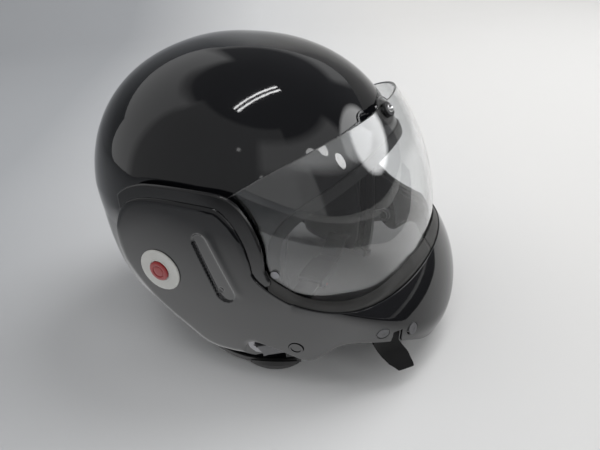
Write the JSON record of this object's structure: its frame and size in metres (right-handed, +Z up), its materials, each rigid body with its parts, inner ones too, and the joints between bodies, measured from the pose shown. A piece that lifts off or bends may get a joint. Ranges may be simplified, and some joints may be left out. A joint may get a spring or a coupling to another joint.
{
  "type": "modular motorcycle helmet",
  "caption": "Gloss black open-face shell with a clear visor and a chin bar that both turn on side pivots; the chin bar swings right over the crown.",
  "frame": {"origin": "middle of the bounding box's underside, in the plane the helmet rests on", "axes": "+Z up, the wearer faces -Y, the wearer's left side is +X; the pivot axis is parallel to X"},
  "size_m": [0.2702, 0.3497, 0.266],
  "materials": {
    "gloss_shell": "high-gloss black lacquer",
    "gloss_chin": "high-gloss black lacquer",
    "rim_satin": "satin black",
    "trim_rubber": "matte black",
    "foam": "matte off-white",
    "liner_fabric": "knitted",
    "pad_fabric": "knitted",
    "webbing": "woven",
    "steel": "satin",
    "dark_metal": "satin dark",
    "white_plastic": "gloss off-white",
    "red_plastic": "gloss red",
    "black_plastic": "satin black",
    "chrome_knob": "polished",
    "visor_clear": "clear",
    "grey_plastic": "satin grey"
  },
  "bodies": {
    "shell": {"outer_shell": "gloss_shell", "neck_trim": "trim_rubber", "face_trim": "trim_rubber", "foam_liner": "foam", "crown_pad": "liner_fabric", "cheek_pad_right": "pad_fabric", "cheek_pad_left": "pad_fabric", "neck_roll": "pad_fabric", "pivot_base_right": "dark_metal", "pivot_base_left": "dark_metal", "base_screws": "steel", "pivot_bolt_right": "steel", "pivot_bolt_left": "steel", "striker_plate_right": "dark_metal", "striker_plate_left": "dark_metal", "striker_post_right": "steel", "striker_post_left": "steel", "latch_guard_right": "trim_rubber", "latch_guard_left": "trim_rubber", "forehead_clip": "black_plastic", "strap_anchors": "steel", "chin_strap_right": "webbing", "chin_strap_left": "webbing", "buckle_body": "black_plastic", "buckle_tongue": "black_plastic"},
    "visor_unit": {"visor": "visor_clear", "visor_bush_right": "black_plastic", "visor_bush_left": "black_plastic", "visor_studs": "dark_metal", "knob_collar": "black_plastic"},
    "knob_press": {"knob_button": "chrome_knob"},
    "chin_unit": {"chin_bar": "gloss_chin", "chin_pad": "pad_fabric", "visor_seal": "trim_rubber", "arm_rim_right": "rim_satin", "arm_rim_left": "rim_satin", "pivot_disc_right": "white_plastic", "pivot_disc_left": "white_plastic", "pivot_cap_right": "red_plastic", "pivot_cap_left": "red_plastic", "latch_pins": "steel", "latch_springs": "steel", "tab_rivets": "grey_plastic", "tab_guide": "dark_metal"},
    "release_tab": {"pull_tab": "trim_rubber"},
    "latch_right": {"latch_lever_right": "grey_plastic"},
    "latch_left": {"latch_lever_left": "grey_plastic"},
    "ratchet_lever": {"buckle_lever": "red_plastic"}
  },
  "joints": [
    {"name": "visor_lift", "type": "hinge", "parent": "shell", "child": "visor_unit", "pos_m": [0, 0.04, 0.104], "axis": [-1, 0, 0], "range_deg": [0, 60]},
    {"name": "knob_button_press", "type": "slide", "parent": "visor_unit", "child": "knob_press", "axis": [0, 0.809, -0.5878], "range_m": [0, 0.0015], "stiffness_N_per_m": 600, "springref_m": -0.002},
    {"name": "chin_bar_flip", "type": "hinge", "parent": "shell", "child": "chin_unit", "pos_m": [0, 0.04, 0.104], "axis": [-1, 0, 0], "range_deg": [0, 180]},
    {"name": "release_pull", "type": "slide", "parent": "chin_unit", "child": "release_tab", "axis": [0.1251, 0.138, -0.9825], "range_m": [0, 0.01], "stiffness_N_per_m": 300, "springref_m": -0.006},
    {"name": "latch_swing_right", "type": "hinge", "parent": "chin_unit", "child": "latch_right", "pos_m": [-0.11844, -0.07679, 0.04577], "axis": [0.9677, 0.2256, 0.1125], "range_deg": [0, 6.6], "stiffness_Nm_per_rad": 0.05, "springref_deg": -17.19},
    {"name": "latch_swing_left", "type": "hinge", "parent": "chin_unit", "child": "latch_left", "pos_m": [0.11844, -0.07679, 0.04577], "axis": [0.9677, -0.2256, -0.1125], "range_deg": [0, 6.6], "stiffness_Nm_per_rad": 0.05, "springref_deg": -17.19},
    {"name": "buckle_lever_lift", "type": "hinge", "parent": "shell", "child": "ratchet_lever", "pos_m": [0.004, -0.036, 0.0178], "axis": [0, 1, 0], "range_deg": [0, 30], "stiffness_Nm_per_rad": 0.02, "springref_deg": -22.92}
  ],
  "couplings": [
    {"joint": "latch_swing_right", "follows": "release_pull", "rad_per_m": 11.5},
    {"joint": "latch_swing_left", "follows": "release_pull", "rad_per_m": 11.5}
  ]
}
